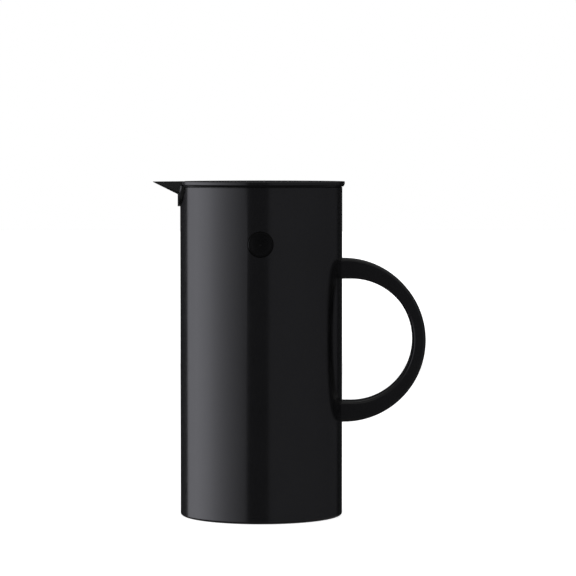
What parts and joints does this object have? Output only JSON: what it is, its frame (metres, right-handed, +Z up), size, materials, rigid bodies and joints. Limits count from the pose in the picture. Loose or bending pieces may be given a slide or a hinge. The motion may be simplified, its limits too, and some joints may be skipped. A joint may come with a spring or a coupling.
{
  "type": "thermal carafe",
  "caption": "Cylindrical vacuum jug with a pointed pouring beak, flat rocking lid that lifts off, ring handle and press-in release buttons.",
  "frame": {"origin": "on the jug's axis, at the centre of the ring it stands on", "axes": "+Z up along the jug's axis, -X towards the beak's tip, +X towards the handle, Y across"},
  "size_m": [0.163, 0.1, 0.2],
  "materials": {
    "shell_abs": "polished black moulding",
    "handle_abs": "black moulding, polished",
    "lid_abs": "polished black moulding",
    "collar_abs": "black moulding, fine satin",
    "button_abs": "black moulding, satin",
    "inner_plastic": "unpolished dark moulding",
    "silvered_glass": "silvered glass",
    "cushion_rubber": "matte foam rubber",
    "silicone": "matte silicone",
    "steel": "turned stainless steel",
    "nickel": "nickel plated"
  },
  "bodies": {
    "carafe": {"outer_shell": "shell_abs", "handle": "handle_abs", "pour_collar": "collar_abs", "front_button_guide": "inner_plastic", "rear_button_guide": "inner_plastic", "flask_outer_wall": "silvered_glass", "flask_inner_wall": "silvered_glass", "flask_cushion": "cushion_rubber", "neck_gasket": "silicone", "collar_seal_ring": "silicone", "handle_screws": "steel", "handle_washers": "inner_plastic", "pivot_magnets": "nickel", "front_button_spring": "steel", "rear_button_spring": "steel"},
    "lid_pivot": {"pivot_bar": "steel"},
    "lid": {"lid_cap": "lid_abs", "keeper_plate": "steel", "stopper_body": "collar_abs", "stopper_seal": "silicone", "stopper_ballast": "steel", "stopper_screw": "steel", "stopper_end_cap": "collar_abs"},
    "front_button": {"front_release_button": "button_abs"},
    "rear_button": {"rear_release_button": "button_abs"}
  },
  "joints": [
    {"name": "lid_lift", "type": "slide", "parent": "carafe", "child": "lid_pivot", "axis": [0, 0, 1], "range_m": [0, 0.06]},
    {"name": "lid_rock", "type": "hinge", "parent": "lid_pivot", "child": "lid", "pos_m": [0.0446, 0, 0.19795], "axis": [0, 1, 0], "range_deg": [0, 18]},
    {"name": "front_button_press", "type": "slide", "parent": "carafe", "child": "front_button", "axis": [0, 1, 0], "range_m": [0, 0.0034], "stiffness_N_per_m": 500, "springref_m": -0.003, "deforming": ["front_button_spring"]},
    {"name": "rear_button_press", "type": "slide", "parent": "carafe", "child": "rear_button", "axis": [0, -1, 0], "range_m": [0, 0.0034], "stiffness_N_per_m": 500, "springref_m": -0.003, "deforming": ["rear_button_spring"]}
  ]
}
